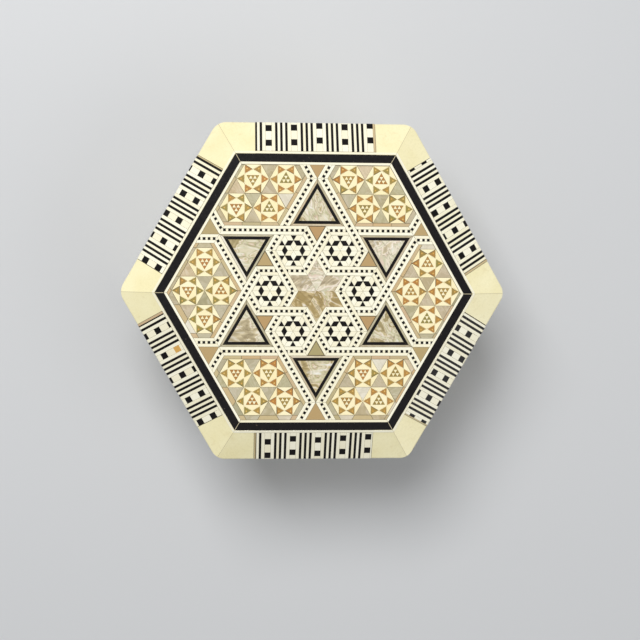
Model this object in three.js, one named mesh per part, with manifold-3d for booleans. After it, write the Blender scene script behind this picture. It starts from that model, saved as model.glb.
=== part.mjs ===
// A hexagonal wooden box with a hinged, bevelled lid, covered in bone, ebony and shell marquetry.
// Millimetres, +Z up. The origin is the centre of the felt underside. Two flats of the hexagon
// face the front (-Y) and the back (+Y), and the hinges are under the lid's back edge.
import * as THREE from "three";
import { mergeVertices } from "three/addons/utils/BufferGeometryUtils.js";
import Module from "manifold-3d";

const wasm = await Module();
wasm.setup();

// ---- Driving dimensions. An apothem is the distance from the box's axis to a flat. ----

const GLUE = 0.1; // gap left between neighbouring pieces, as thick as a glue line
const CORNER_ROUND = 6; // plan radius of the worn lid and plinth corners

const LID_APOTHEM = 55; // half the lid's width across flats
const LID_EDGE = 5.2; // upright edge below the lid's bevel
const BEVEL_RUN = 10.4; // bevel's width, seen from above
const BEVEL_RISE = 5.4; // bevel's height
const EDGE_ROUND = 0.7; // radius of the bevel's outer arris
const EDGE_LAP = 0.3; // how far the bevel's veneer covers the rail's upright edge
const LID_BOARD = 4.2; // thickness of the lid's panel
const LID_RAIL_INNER = 11; // lid rail's width, from its outside to the panel
const BAND_WIDTH = 2.4; // black band round the field
const STRIPE_LENGTH = 38.8; // striped slip in the middle of each side of the rim
const LID_PAD = 2.6;
const LID_PAD_FIT = 0.4; // space round the lid's pad

const VENEER = 0.9; // thickness of every marquetry layer
const OVERHANG = 4.5; // lid's edge beyond the side panels
const WALL = 6;
const WALL_TOP = 43; // height of the walls' top edge above the table
const LID_GAP = 0.3; // gap between the walls and the closed lid
const BASE_BOARD = 5;
const FELT = 1;
const FELT_INSET = 1; // how far the felt stays inside the plinth
const PLINTH_OVERHANG = 5.5; // plinth's edge beyond the side panels
const PLINTH_EDGE = 4.6; // upright edge of the plinth
const PLINTH_TOP = 10; // height of the plinth's inner edge above the table

const LINING = 1.2; // velvet on card, on the inside of the walls
const LINING_DROP = 0.8; // lining's top edge below the walls' top
const FLOOR_PAD = 2.5;
const PAD_FIT = 0.2; // space round the floor pad

const HINGE_SPREAD = 32; // distance between the middles of the two hinges
const HINGE_LENGTH = 14;
const BARREL_RADIUS = 1.2;
const BARREL_STANDOFF = 0.1; // gap between the barrel and the back side panel
const PIN_RADIUS = 0.5;
const PIN_HEAD_RADIUS = 0.8;
const PIN_HEAD = 0.4;
const RUNNING = 0.08; // clearance round the pin, more than its facets' depth
const KNUCKLE_GAP = 0.15;
const LEAF = 0.5; // thickness of a hinge leaf
const LEAF_REACH = 6.2; // leaf's width from the hinge's axis
const MORTISE_FIT = 0.12; // space round a leaf in its mortise
const BARREL_GROOVE = 0.35; // space round the barrel in the lid rail
const SCREW_SPREAD = 8.4; // distance between a leaf's two screws
const SCREW_REACH = 3.9; // screws' distance from the hinge's axis
const SCREW_HEAD_RADIUS = 1.15;
const SCREW_HEAD = 0.55; // depth of the countersunk head
const SCREW_RADIUS = 0.55;
const SCREW_LENGTH = 4.2;
const SCREW_POINT = 0.9;
const SCREW_SLOT = 0.3;
const SCREW_FIT = 0.08;
const ROUND_SIDES = 24;
const SCREW_SIDES = 12;

// ---- Places that follow from them ----

const TAN30 = Math.tan(Math.PI / 6);
const COS30 = Math.cos(Math.PI / 6);

const wallFace = LID_APOTHEM - OVERHANG; // outside of the side panels
const plinthApothem = wallFace + PLINTH_OVERHANG;
const wallOuter = wallFace - VENEER - GLUE;
const wallInner = wallOuter - WALL;
const floorTop = FELT + GLUE + BASE_BOARD;
const liningOuter = wallInner - GLUE;
const liningInner = liningOuter - LINING;

const lidBottom = WALL_TOP + LID_GAP;
const bevelFoot = lidBottom + LID_EDGE;
const lidTop = bevelFoot + BEVEL_RISE;
const bevelInner = LID_APOTHEM - BEVEL_RUN;
const bevelSlope = BEVEL_RISE / BEVEL_RUN;
const veneerDrop = VENEER * Math.hypot(1, bevelSlope); // the veneer's thickness, measured upright
const lidBoardTop = lidTop - VENEER - GLUE;
const lidBoardBottom = lidBoardTop - LID_BOARD;
const railInner = LID_APOTHEM - LID_RAIL_INNER;
const railFlat = bevelInner - (veneerDrop - VENEER) / bevelSlope; // where the rail's top turns flat

const axisY = wallFace + BARREL_STANDOFF + BARREL_RADIUS;
const axisZ = WALL_TOP + LID_GAP / 2;

// Each side of the hexagon by name, with the turn that brings the back side to it.
const SIDES = {
  back: 0,
  back_left: 60,
  front_left: 120,
  front: 180,
  front_right: 240,
  back_right: 300,
};
// Each corner by name, with the turn that brings a corner on +Y to it.
const CORNERS = {
  back_left: 30,
  left: 90,
  front_left: 150,
  front_right: 210,
  right: 270,
  back_right: 330,
};

// ---- Materials ----

function finish(color, roughness, metalness = 0) {
  return new THREE.MeshStandardMaterial({ color, roughness, metalness });
}

const WOOD = finish(0x9a6a3c, 0.6);
const DARK_WOOD = finish(0x2a1a12, 0.4);
const BONE = finish(0xf2ebcb, 0.3);
const EBONY = finish(0x14110f, 0.25);
const MARQUETRY = finish(0xe6d9ae, 0.28);
const STRIPES = finish(0xb9b3a2, 0.28);
const VELVET = finish(0x7a1420, 0.95);
const FELT_GREEN = finish(0x23402b, 1);
const BRASS = finish(0xb8923c, 0.35, 1);

// ---- Solids ----

// A closed three.js geometry as a solid that can be cut and joined.
function solid(geometry) {
  const bare = geometry.clone();
  bare.deleteAttribute("normal");
  bare.deleteAttribute("uv");
  const merged = mergeVertices(bare, 1e-4);
  const vertProperties = merged.attributes.position.array;
  const triVerts = new Uint32Array(merged.index.array);
  return new wasm.Manifold(new wasm.Mesh({ numProp: 3, vertProperties, triVerts }));
}

// A solid as a three.js geometry again.
function geometryOf(made) {
  const mesh = made.getMesh();
  const geometry = new THREE.BufferGeometry();
  geometry.setAttribute("position", new THREE.BufferAttribute(mesh.vertProperties, 3));
  geometry.setIndex(new THREE.BufferAttribute(mesh.triVerts, 1));
  geometry.computeVertexNormals();
  return geometry;
}

// Extrudes a section of [apothem, height] points in steps, and puts each point where place says,
// from its apothem, its height and its share of the way along.
function sweep(section, steps, place) {
  const shape = new THREE.Shape(section.map(([a, z]) => new THREE.Vector2(a, z)));
  const geometry = new THREE.ExtrudeGeometry(shape, { depth: 1, steps, bevelEnabled: false });
  const points = geometry.attributes.position;
  for (let i = 0; i < points.count; i++) {
    points.setXYZ(i, ...place(points.getX(i), points.getY(i), points.getZ(i)));
  }
  geometry.computeVertexNormals();
  return geometry;
}

// One side of a hexagonal frame, on the back side, mitred at both ends.
function mitredRail(section) {
  return sweep(section, 1, (a, z, along) => [(2 * along - 1) * (a * TAN30 - GLUE), a, z]);
}

// A straight length of a section, square at both ends, in the middle of the back side.
function straightRail(section, length) {
  return sweep(section, 1, (a, z, along) => [(along - 0.5) * length, a, z]);
}

// The two mitred slips round a corner on +Y, each cut square at a distance from its side's middle.
function cornerRail(section, cut) {
  return sweep(section, 2, (a, z, along) => {
    const side = Math.sign(Math.round(2 * along) - 1);
    const reach = side === 0 ? a * TAN30 : cut;
    return [side * (a / 2 - reach * COS30), a * COS30 + reach / 2, z];
  });
}

// A hexagon's outline with flats on +Y and -Y, or turned by an angle, with its corners rounded.
function hexagon(apothem, round = 0, turn = 0, path = new THREE.Shape()) {
  const cornerDistance = (apothem - round) / COS30;
  for (let i = 0; i < 6; i++) {
    const angle = (i * Math.PI) / 3 + turn;
    const x = cornerDistance * Math.cos(angle);
    const y = cornerDistance * Math.sin(angle);
    if (round === 0 && i === 0) path.moveTo(x, y);
    else if (round === 0) path.lineTo(x, y);
    else path.absarc(x, y, round, angle - Math.PI / 6, angle + Math.PI / 6, false);
  }
  return path;
}

// A flat plate with this outline between two heights.
function plate(shape, bottom, top) {
  const settings = { depth: top - bottom, bevelEnabled: false, curveSegments: 6 };
  return new THREE.ExtrudeGeometry(shape, settings).translate(0, 0, bottom);
}

// A hexagonal ring between two apothems and two heights.
function ring(inner, outer, bottom, top) {
  const shape = hexagon(outer);
  shape.holes.push(hexagon(inner, 0, 0, new THREE.Path()));
  return plate(shape, bottom, top);
}

// A box from its lowest to its highest corner.
function block(low, high) {
  const size = high.map((value, i) => value - low[i]);
  const middle = high.map((value, i) => (value + low[i]) / 2);
  return new THREE.BoxGeometry(...size).translate(...middle);
}

// A cylinder along X at the hinges' axis, in the middle of a hinge.
function barrel(radius, from, to) {
  const geometry = new THREE.CylinderGeometry(radius, radius, to - from, ROUND_SIDES);
  return geometry.rotateZ(Math.PI / 2).translate((from + to) / 2, axisY, axisZ);
}

// Keeps what lies inside the rounded outline of the lid or the plinth.
function roundedOff(geometry, apothem, turn = 0) {
  const outline = plate(hexagon(apothem, CORNER_ROUND, turn), 0, lidTop + 1);
  return geometryOf(solid(geometry).intersect(solid(outline)));
}

// ---- Sections, as [apothem, height] points ----

// The lid's bevel at an apothem, measured on top of its veneer.
function bevelHeight(apothem) {
  return bevelFoot + (LID_APOTHEM - apothem) * bevelSlope;
}

function lidRailSection() {
  const edge = LID_APOTHEM - EDGE_LAP;
  const drop = veneerDrop + GLUE;
  return [
    [railInner, lidBottom],
    [edge, lidBottom],
    [edge, bevelHeight(edge) - drop],
    [railFlat, lidBoardTop],
    [railInner, lidBoardTop],
  ];
}

// The slips on the bevel, with the outer arris rounded.
function rimVeneerSection() {
  const inner = bevelInner + GLUE;
  const turn = Math.PI / 2 - Math.atan(bevelSlope);
  const reach = EDGE_ROUND * Math.tan(turn / 2);
  const middle = [LID_APOTHEM - EDGE_ROUND, bevelFoot - reach];
  const arc = [];
  for (let i = 0; i <= 4; i++) {
    const angle = (turn * i) / 4;
    arc.push([middle[0] + EDGE_ROUND * Math.cos(angle), middle[1] + EDGE_ROUND * Math.sin(angle)]);
  }
  return [
    [inner, bevelHeight(inner) - veneerDrop],
    [LID_APOTHEM, bevelFoot - veneerDrop],
    ...arc,
    [inner, bevelHeight(inner)],
  ];
}

function plinthSection() {
  return [
    [wallOuter + GLUE, FELT + GLUE],
    [plinthApothem, FELT + GLUE],
    [plinthApothem, FELT + GLUE + PLINTH_EDGE],
    [wallFace, PLINTH_TOP],
    [wallOuter + GLUE, PLINTH_TOP],
  ];
}

function uprightSection(inner, outer, bottom, top) {
  return [
    [inner, bottom],
    [outer, bottom],
    [outer, top],
    [inner, top],
  ];
}

// ---- Hinges, modelled in the middle of the back side and then moved apart ----

const hingeHalf = HINGE_LENGTH / 2;
const knuckle = (HINGE_LENGTH - 2 * KNUCKLE_GAP) / 3;
const middleKnuckle = knuckle / 2;
const outerKnuckle = middleKnuckle + KNUCKLE_GAP;
const leafInner = axisY - LEAF_REACH;
const screwY = axisY - SCREW_REACH;
// The two leaves lie on either side of the gap under the lid, each half sunk into its mortise.
const LEAVES = {
  box: { up: -1, face: axisZ - LID_GAP / 3, knuckles: [[-hingeHalf, -outerKnuckle], [outerKnuckle, hingeHalf]] },
  lid: { up: 1, face: axisZ + LID_GAP / 3, knuckles: [[-middleKnuckle, middleKnuckle]] },
};

// A countersunk screw along +Z, its head's face at the origin and its point below, with a margin.
function screwBlank(margin = 0) {
  const head = SCREW_HEAD_RADIUS + margin;
  const shank = SCREW_RADIUS + margin;
  const profile = [
    new THREE.Vector2(0, -SCREW_LENGTH - margin),
    new THREE.Vector2(shank, -SCREW_LENGTH + SCREW_POINT - margin),
    new THREE.Vector2(shank, -SCREW_HEAD - margin),
    new THREE.Vector2(head, margin > 0 ? -margin : 0),
    new THREE.Vector2(head, margin),
    new THREE.Vector2(0, margin),
  ];
  if (margin === 0) profile.splice(4, 1);
  const geometry = new THREE.LatheGeometry(profile, SCREW_SIDES);
  return solid(geometry.rotateX(Math.PI / 2));
}

// The box leaf's screws point down, and the lid leaf's are the same turned over.
function placedScrew(blank, leaf, x) {
  const turned = leaf.up > 0 ? blank.rotate([180, 0, 0]) : blank;
  return turned.translate([x, screwY, leaf.face]);
}

const SCREW_PLACES = [-SCREW_SPREAD / 2, SCREW_SPREAD / 2];

function screw(leaf, x) {
  const slot = block(
    [-SCREW_HEAD_RADIUS, -SCREW_SLOT / 2, -SCREW_SLOT],
    [SCREW_HEAD_RADIUS, SCREW_SLOT / 2, SCREW_SLOT],
  );
  return placedScrew(screwBlank().subtract(solid(slot)), leaf, x);
}

function screwHoles(leaf) {
  const holes = SCREW_PLACES.map((x) => placedScrew(screwBlank(SCREW_FIT), leaf, x));
  return holes[0].add(holes[1]);
}

function leafPlate(leaf, margin = 0) {
  const back = leaf.face + leaf.up * (LEAF + margin);
  return solid(
    block(
      [-hingeHalf - margin, leafInner - margin, Math.min(leaf.face, back)],
      [hingeHalf + margin, axisY, Math.max(leaf.face, back)],
    ),
  );
}

function hingeLeaf(leaf) {
  const other = leaf === LEAVES.box ? LEAVES.lid : LEAVES.box;
  let made = leafPlate(leaf);
  for (const [from, to] of leaf.knuckles) {
    made = made.add(solid(barrel(BARREL_RADIUS, from, to)));
  }
  for (const [from, to] of other.knuckles) {
    made = made.subtract(
      solid(barrel(BARREL_RADIUS + KNUCKLE_GAP, from - KNUCKLE_GAP, to + KNUCKLE_GAP)),
    );
  }
  const bore = solid(barrel(PIN_RADIUS + RUNNING, -hingeHalf - 1, hingeHalf + 1));
  return made.subtract(bore).subtract(screwHoles(leaf));
}

function hingePin() {
  const pin = solid(barrel(PIN_RADIUS, -hingeHalf - KNUCKLE_GAP, hingeHalf + KNUCKLE_GAP));
  const ends = [-1, 1].map((end) => {
    const from = end * (hingeHalf + KNUCKLE_GAP);
    const to = from + end * PIN_HEAD;
    return solid(barrel(PIN_HEAD_RADIUS, Math.min(from, to), Math.max(from, to)));
  });
  return pin.add(ends[0]).add(ends[1]);
}

const hingePlaces = { left: -HINGE_SPREAD / 2, right: HINGE_SPREAD / 2 };

// What a leaf needs cut away: its mortise, open on its face's side, and its screws' holes.
function mortise(leaf) {
  const open = leaf.face - leaf.up * LID_GAP;
  const back = leaf.face + leaf.up * (LEAF + MORTISE_FIT);
  const slot = block(
    [-hingeHalf - MORTISE_FIT, leafInner - MORTISE_FIT, Math.min(open, back)],
    [hingeHalf + MORTISE_FIT, axisY, Math.max(open, back)],
  );
  return solid(slot).add(screwHoles(leaf));
}

function withoutHinges(geometry, cutter) {
  let made = solid(geometry);
  for (const x of Object.values(hingePlaces)) {
    made = made.subtract(cutter.translate([x, 0, 0]));
  }
  return geometryOf(made);
}

// ---- Assembly ----

const box = new THREE.Group();

function put(name, geometry, material, turn = 0) {
  const mesh = new THREE.Mesh(geometry, material);
  mesh.name = name;
  mesh.rotation.z = THREE.MathUtils.degToRad(turn);
  box.add(mesh);
}

function addCarcass() {
  put("base_felt", plate(hexagon(plinthApothem - FELT_INSET), 0, FELT), FELT_GREEN);
  put("base_board", plate(hexagon(wallOuter), FELT + GLUE, floorTop), WOOD);
  const wall = mitredRail(uprightSection(wallInner, wallOuter, floorTop + GLUE, WALL_TOP));
  const panel = mitredRail(uprightSection(wallFace - VENEER, wallFace, PLINTH_TOP + GLUE, WALL_TOP));
  const plinth = roundedOff(mitredRail(plinthSection()), plinthApothem);
  const cutter = mortise(LEAVES.box);
  for (const [side, turn] of Object.entries(SIDES)) {
    const hinged = side === "back";
    put(`wall_${side}`, hinged ? withoutHinges(wall, cutter) : wall, WOOD, turn);
    put(`side_panel_${side}`, hinged ? withoutHinges(panel, cutter) : panel, MARQUETRY, turn);
    put(`base_rail_${side}`, plinth, DARK_WOOD, turn);
  }
}

function addInterior() {
  const top = WALL_TOP - LINING_DROP;
  put("wall_lining", ring(liningInner, liningOuter, floorTop + GLUE, top), VELVET);
  const bottom = floorTop + GLUE;
  put("floor_pad", plate(hexagon(liningInner - PAD_FIT), bottom, bottom + FLOOR_PAD), VELVET);
}

function addLid() {
  put("lid_board", plate(hexagon(railInner - GLUE), lidBoardBottom, lidBoardTop), WOOD);
  const fieldApothem = bevelInner - BAND_WIDTH;
  const fieldBottom = lidTop - VENEER;
  put("lid_field", plate(hexagon(fieldApothem - GLUE), fieldBottom, lidTop), MARQUETRY);
  put("lid_band", ring(fieldApothem, bevelInner, fieldBottom, lidTop), EBONY);
  const padTop = lidBoardBottom - GLUE;
  const padApothem = railInner - LID_PAD_FIT;
  put("lid_pad", plate(hexagon(padApothem), padTop - LID_PAD, padTop), VELVET);

  const rail = roundedOff(mitredRail(lidRailSection()), LID_APOTHEM - EDGE_LAP);
  const groove = solid(
    barrel(BARREL_RADIUS + BARREL_GROOVE, -hingeHalf - PIN_HEAD - 0.5, hingeHalf + PIN_HEAD + 0.5),
  );
  const cutter = mortise(LEAVES.lid).add(groove);
  const stripe = straightRail(rimVeneerSection(), STRIPE_LENGTH);
  for (const [side, turn] of Object.entries(SIDES)) {
    put(`lid_rail_${side}`, side === "back" ? withoutHinges(rail, cutter) : rail, DARK_WOOD, turn);
    put(`lid_stripe_${side}`, stripe, STRIPES, turn);
  }
  const slips = cornerRail(rimVeneerSection(), STRIPE_LENGTH / 2 + GLUE);
  const corner = roundedOff(slips, LID_APOTHEM, Math.PI / 6);
  for (const [name, turn] of Object.entries(CORNERS)) {
    put(`lid_corner_${name}`, corner, BONE, turn);
  }
}

function addHinges() {
  for (const [hand, x] of Object.entries(hingePlaces)) {
    const moved = (made) => geometryOf(made.translate([x, 0, 0]));
    for (const [name, leaf] of Object.entries(LEAVES)) {
      put(`hinge_${hand}_${name}_leaf`, moved(hingeLeaf(leaf)), BRASS);
      SCREW_PLACES.forEach((place, i) => {
        put(`hinge_${hand}_${name}_screw_${i + 1}`, moved(screw(leaf, place)), BRASS);
      });
    }
    put(`hinge_${hand}_pin`, moved(hingePin()), BRASS);
  }
}

addCarcass();
addInterior();
addLid();
addHinges();

export default box;
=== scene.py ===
# A hexagonal box veneered in bone, ebony, walnut and shell marquetry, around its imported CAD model.
import cmath
import math
import random

import bpy
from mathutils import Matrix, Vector


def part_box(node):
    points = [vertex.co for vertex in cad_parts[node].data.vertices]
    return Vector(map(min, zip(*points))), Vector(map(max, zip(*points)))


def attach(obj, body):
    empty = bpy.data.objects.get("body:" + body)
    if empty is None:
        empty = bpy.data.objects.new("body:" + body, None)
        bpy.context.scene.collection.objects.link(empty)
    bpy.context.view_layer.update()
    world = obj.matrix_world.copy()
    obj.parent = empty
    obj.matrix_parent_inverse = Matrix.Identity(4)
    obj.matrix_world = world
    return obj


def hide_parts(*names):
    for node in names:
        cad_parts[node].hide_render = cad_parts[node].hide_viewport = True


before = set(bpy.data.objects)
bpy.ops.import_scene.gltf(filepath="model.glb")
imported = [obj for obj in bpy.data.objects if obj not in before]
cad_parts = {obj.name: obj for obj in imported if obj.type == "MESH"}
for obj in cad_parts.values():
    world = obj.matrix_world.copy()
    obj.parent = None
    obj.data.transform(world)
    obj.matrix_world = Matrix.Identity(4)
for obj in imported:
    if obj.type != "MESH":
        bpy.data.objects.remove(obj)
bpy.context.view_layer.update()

MM = 0.001
SIXTH = math.pi / 3
TAN30 = math.tan(math.pi / 6)
SIDES = ("back", "back_left", "front_left", "front", "front_right", "back_right")

# ---- Sizes of the inlay, in millimetres ----

PROUD = 0.1  # how far a piece stands above its bed
SUNK = 0.25  # how far it reaches into the bed
UNEVEN = 0.012  # how much higher or lower a piece may lie than it should
CHAMFER = 0.04  # worn edge round a piece's face
GLUE_LINE = 0.12  # gap between pieces
NARROW_LINE = 0.07  # gap along a strip
FINE_LINE = 0.05  # gap inside a glued-up rod
ROD_LINE = 0.02  # gap beside a strap's bone squares
SMALLEST = 0.02  # area below which a sliver is left out, in square millimetres
NARROWEST = 0.2  # width below which a slat is left out
SAME_POINT = 1e-6  # distance below which two corners count as one
PLANK = 90  # how far apart in the same wood or shell two pieces may be cut

CELL = 7.53  # side of the strapwork's hexagons, on the straps' middle lines
STRAP_BONE = 1.01  # each bone strip of a strap
STRAP_DOTS = 0.85  # row of ebony squares between them
STRAP = 2 * STRAP_BONE + STRAP_DOTS
STRAP_END = 8.0  # how far a strap runs on towards the field's edge
DOT_PITCH = 1.64
DOT_WANDER = 0.06  # how unevenly the squares were cut
SPARE_DOTS = 2  # squares laid past each end of a stretch, for its limits to cut off
GRID = 1.88  # unit of the triangular grid inside a cell
KISS = complex(36.25, 1.65)  # where two straps touch, near the middle of a side
FRAME_INSET = 0.7  # strip between a strap and the ebony triangle
FRAME_WIDTH = 0.92  # ebony round each large shell triangle
SHELL_TINTS = (0.42, 0.46, 0.34, 0.62, 0.46, 0.25)
SMALL_TINTS = (0.1, 0.5, 0.2, 0.95, 0.15, 0.3)
SMALL_INSET = 0.2  # room round the small triangles next to the cells
SILVER, GOLD = ((0.0, 0.25), 0.4), ((0.75, 1.0), -0.5)  # tints and grain of the middle star's halves
SHELL_LINE = 0.04  # gap inside the middle star
OFF_CENTRE = complex(0.5, 0.7)  # how far from the lid's middle the pattern was glued

STAR = 5.3  # circumradius of a walnut star's hexagon
TIP_INSET = 0.12  # yellow border round each walnut tip
SPLIT_SIDE = 4.0  # side of the triangle in a star's middle
STAR_LEAN = 0.012  # how far a star may be turned, in radians
STAR_SLIP = 0.07  # how far it may lie from its place
TURN = 6.3  # bearings that it may have slipped to, in radians
HUE_SPREAD = 0.18  # how far the tints of a star's tips may differ
FLIPPED_SHARE = 0.4  # stars with the middle triangle pointing down
PEG_RADIUS = 0.26
PEG_SIDES = 8
PEG_LIFT = 0.03  # how far a peg stands above its piece
PEG_PLACE = 0.71  # share of the way from a star's middle to its tip
FIRST_STAR = 30.78  # distance of a corner group's first star from the middle
GROUP_ROOT = 24.22  # distance of a corner group's inner corner from the middle
GROUP_EDGE = 17.62  # a corner group's edges that follow the straps
GROUP_REACH = 7.0  # its edges beside the straps' ends, past the field's edge
GROUP_BORDER = 1.1  # filler along the straps
FILLER_LENGTH = 6.0
FILLERS = 3

BEYOND = 43.0  # well past the field's edge
STRINGING = 0.84  # bone line inside the lid's black band
STRINGING_GAP = 0.08
OUTER_LINE = 0.9  # bone line outside it
OUTER_GAP = 0.08  # between it and the striped slips
STRIPE_REACH = 19.4  # half the length of each striped slip
STRIPE_PERIOD = 8.22
STRIPE_SQUARE = 2.0
STRIPE_SQUARE_LONG = 2.3  # the squares' length down the slope
STRIPE_SQUARE_PITCH = 5.5
STRIPE_SQUARES = 4  # in a column, the first of them above the slip
STRIPE_COLUMNS = 7
STRIPE_PACKING = (0.4, 0.9)  # width of the wooden slat that fills the slip's end
STRIPE_LINE = 0.76
STRIPE_LINE_PITCH = 1.62

# How the rods of each lid slip came to lie: a column's place along the side, the first square's
# place down the slope in each of seven columns, and the column and number of a square of another wood
LID_RODS = {
    "back": (1.3, (0.8, 1.8, 2.1, 2.9, 2.5, 3.2, 0.9), None),
    "back_left": (-1.9, (2.4, 1.1, 4.3, 3.2, 1.4, 4.6, 2.0), None),
    "front_left": (-1.9, (1.2, 1.9, 1.5, 4.2, 1.0, 3.9, 3.0), (1, 1)),
    "front": (-1.5, (2.2, 0.5, 1.0, 1.7, 1.2, 2.4, 0.7), None),
    "front_right": (2.6, (3.4, 4.9, 2.2, 0.6, 4.1, 1.8, 2.9), None),
    "back_right": (-3.2, (4.6, 0.6, 1.8, 0.2, 3.9, 1.3, 2.0), None),
}

BEVEL_RISE = 5.4  # height of the lid's bevel
ARRIS = 0.7  # radius of the lid's outer arris
ARC_STEPS = 5
BEND_ROOM = 0.05  # least distance between a profile's bend and a piece's end
BAND_ROOM = 0.12  # between the black band and the first piece on the bevel
CORNER_ROUND = 6.0  # plan radius of the lid's and plinth's corners
CORNER_STEPS = 8
EDGE_ROOM = 0.05  # bed left bare beside a piece at an edge
PLINTH_EDGE = 4.6  # height of the plinth's upright edge
PLINTH_MARGIN = 0.15  # bed left bare above and below the plinth's slips
BAND_BONE = 0.27  # share of an edge band's height that each bone strip takes
BAND_LINE = 0.09  # share that each ebony line takes
PANEL_FRAME = (("bone", 1.5), ("ebony", 1.1), ("bone", 0.7))  # frames round a side panel, inward
PANEL_FOOT, PANEL_HEAD = 0.1, 0.7  # bed left bare below and above the frames


def mm(value):
    return value / MM


# ---- Flat outlines, as complex numbers in millimetres, anticlockwise ----


def across(a, b):
    """The part of b that lies across a: positive to a's left."""
    return (a.conjugate() * b).imag


def along(a, b):
    return (a.conjugate() * b).real


def sides(outline):
    """Each side of an outline, as its two corners."""
    return list(zip(outline, outline[1:] + outline[:1]))


def area(outline):
    return sum(across(p, q) for p, q in sides(outline)) / 2


def cut(outline, point, outward):
    """The part of a convex outline behind a line through a point, facing outward."""
    kept = []
    for p, q in sides(outline):
        ahead_p = along(outward, p - point)
        ahead_q = along(outward, q - point)
        if ahead_p <= 0:
            kept.append(p)
        if (ahead_p < 0 < ahead_q) or (ahead_q < 0 < ahead_p):
            kept.append(p + (q - p) * ahead_p / (ahead_p - ahead_q))
    return kept


def edges(outline):
    """Each side of an outline as a point on it and the direction out of it."""
    return [(p, (q - p) / abs(q - p) / 1j) for p, q in sides(outline) if abs(q - p) > SAME_POINT]


def clip(outline, region):
    for point, outward in edges(region):
        outline = cut(outline, point, outward)
    return outline


def shrink(outline, by):
    for point, outward in edges(outline):
        outline = cut(outline, point - outward * by, outward)
    return outline


def turned(outline, sixths, centre=0):
    return [centre + p * cmath.rect(1, sixths * SIXTH) for p in outline]


def ngon(centre, radius, start=0.0, count=6):
    """A regular polygon, with a corner at start, in degrees."""
    step = 2 * math.pi / count
    return [centre + cmath.rect(radius, math.radians(start) + i * step) for i in range(count)]


def rectangle(low, high):
    """An upright rectangle between two opposite corners."""
    return [low, complex(high.real, low.imag), high, complex(low.real, high.imag)]


def rounded_hexagon(apothem, radius, steps=6):
    """A hexagon with flats up and down and rounded corners, from the corner at 0 degrees on."""
    points = []
    for corner in range(6):
        middle = cmath.rect((apothem - radius) / math.cos(SIXTH / 2), corner * SIXTH)
        for step in range(steps + 1):
            turn = corner * SIXTH + (step / steps - 0.5) * SIXTH
            points.append(middle + cmath.rect(radius, turn))
    return points


# ---- Pieces laid on a surface ----


class Panel:
    """A surface that takes inlay. place(u, v, w) puts a point in the model's frame: u and v run over
    the surface and w stands out of it, all in millimetres."""

    def __init__(self, name, body, seed):
        self.name = name
        self.body = body
        self.random = random.Random(seed)
        self.sheets = {}
        self.place = None

    def _add(self, finish, points, faces, grain, tint):
        empty = {"points": [], "faces": [], "tints": [], "grain": []}
        sheet = self.sheets.setdefault(finish, empty)
        first = len(sheet["points"])
        sheet["points"] += [self.place(*p) for p in points]
        sheet["faces"] += [[first + i for i in face] for face in faces]
        sheet["tints"] += [tint] * len(faces)
        shift = complex(self.random.uniform(0, PLANK), self.random.uniform(0, PLANK))
        turn = grain.conjugate() / abs(grain)
        sheet["grain"] += [complex(u, v) * turn + shift for u, v, w in points]

    def lay(self, finish, outline, gap=GLUE_LINE, tint=None, grain=None, region=None):
        """Lays one flat convex piece. Its grain runs along its longest edge unless it is given."""
        if region:
            outline = clip(outline, region)
        if len(outline) < 3 or area(outline) < SMALLEST:
            return
        rim = shrink(outline, gap / 2)
        face = shrink(rim, CHAMFER)
        while len(face) != len(rim):  # the chamfer took a short edge away
            rim, face = face, shrink(face, CHAMFER)
        if len(face) < 3 or area(face) < SMALLEST:
            return
        if grain is None:
            grain = max((q - p for p, q in sides(rim)), key=abs)
        if tint is None:
            tint = self.random.random()
        count = len(rim)
        lift = self.random.uniform(-UNEVEN, UNEVEN)
        points = [(p.real, p.imag, -SUNK) for p in rim]
        points += [(p.real, p.imag, PROUD - CHAMFER + lift) for p in rim]
        points += [(p.real, p.imag, PROUD + lift) for p in face]
        faces = [list(range(count))[::-1], [2 * count + i for i in range(count)]]
        faces += ring_faces(0, count, count) + ring_faces(count, 2 * count, count)
        self._add(finish, points, faces, grain, tint)

    def sweep(self, finish, width, lift, stations, closed, grain=1 + 0j):
        """A strip of a width, carried through stations that each give a function from a side
        offset to (u, v). It stands proud by lift more than it should."""
        half, top = width / 2, PROUD + lift
        section = [(-half, -SUNK), (half, -SUNK), (half, top - CHAMFER), (half - CHAMFER, top),
                   (CHAMFER - half, top), (-half, top - CHAMFER)]
        size = len(section)
        points = []
        for at in stations:
            points += [(*at(side), w) for side, w in section]
        faces = []
        count = len(stations)
        for k in range(count if closed else count - 1):
            faces += ring_faces(k * size, (k + 1) % count * size, size)
        if not closed:
            faces.append(list(range(size))[::-1])
            faces.append([(count - 1) * size + i for i in range(size)])
        self._add(finish, points, faces, grain, self.random.random())

    def peg(self, finish, centre, region):
        """A small peg let into a piece, standing a hair above it."""
        if any(along(outward, centre - p) > -PEG_RADIUS for p, outward in edges(region)):
            return
        rim = ngon(centre, PEG_RADIUS, count=PEG_SIDES)
        points = [(p.real, p.imag, w) for w in (0.0, PROUD + PEG_LIFT) for p in rim]
        faces = [list(range(PEG_SIDES))[::-1], [PEG_SIDES + i for i in range(PEG_SIDES)]]
        faces += ring_faces(0, PEG_SIDES, PEG_SIDES)
        self._add(finish, points, faces, 1 + 0j, self.random.random())

    def finished(self):
        """Makes one mesh object for each finish used on the panel."""
        for finish, sheet in self.sheets.items():
            inlay_piece(f"{self.name}_{finish}", sheet, self.body, FINISHES[finish])


# ---- Meshes and pieces ----


def new_mesh(name, points, faces):
    mesh = bpy.data.meshes.new(name)
    mesh.from_pydata(points, [], faces)
    return mesh


def linked(name, data):
    """A new object in the scene."""
    made = bpy.data.objects.new(name, data)
    bpy.context.collection.objects.link(made)
    return made


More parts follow.
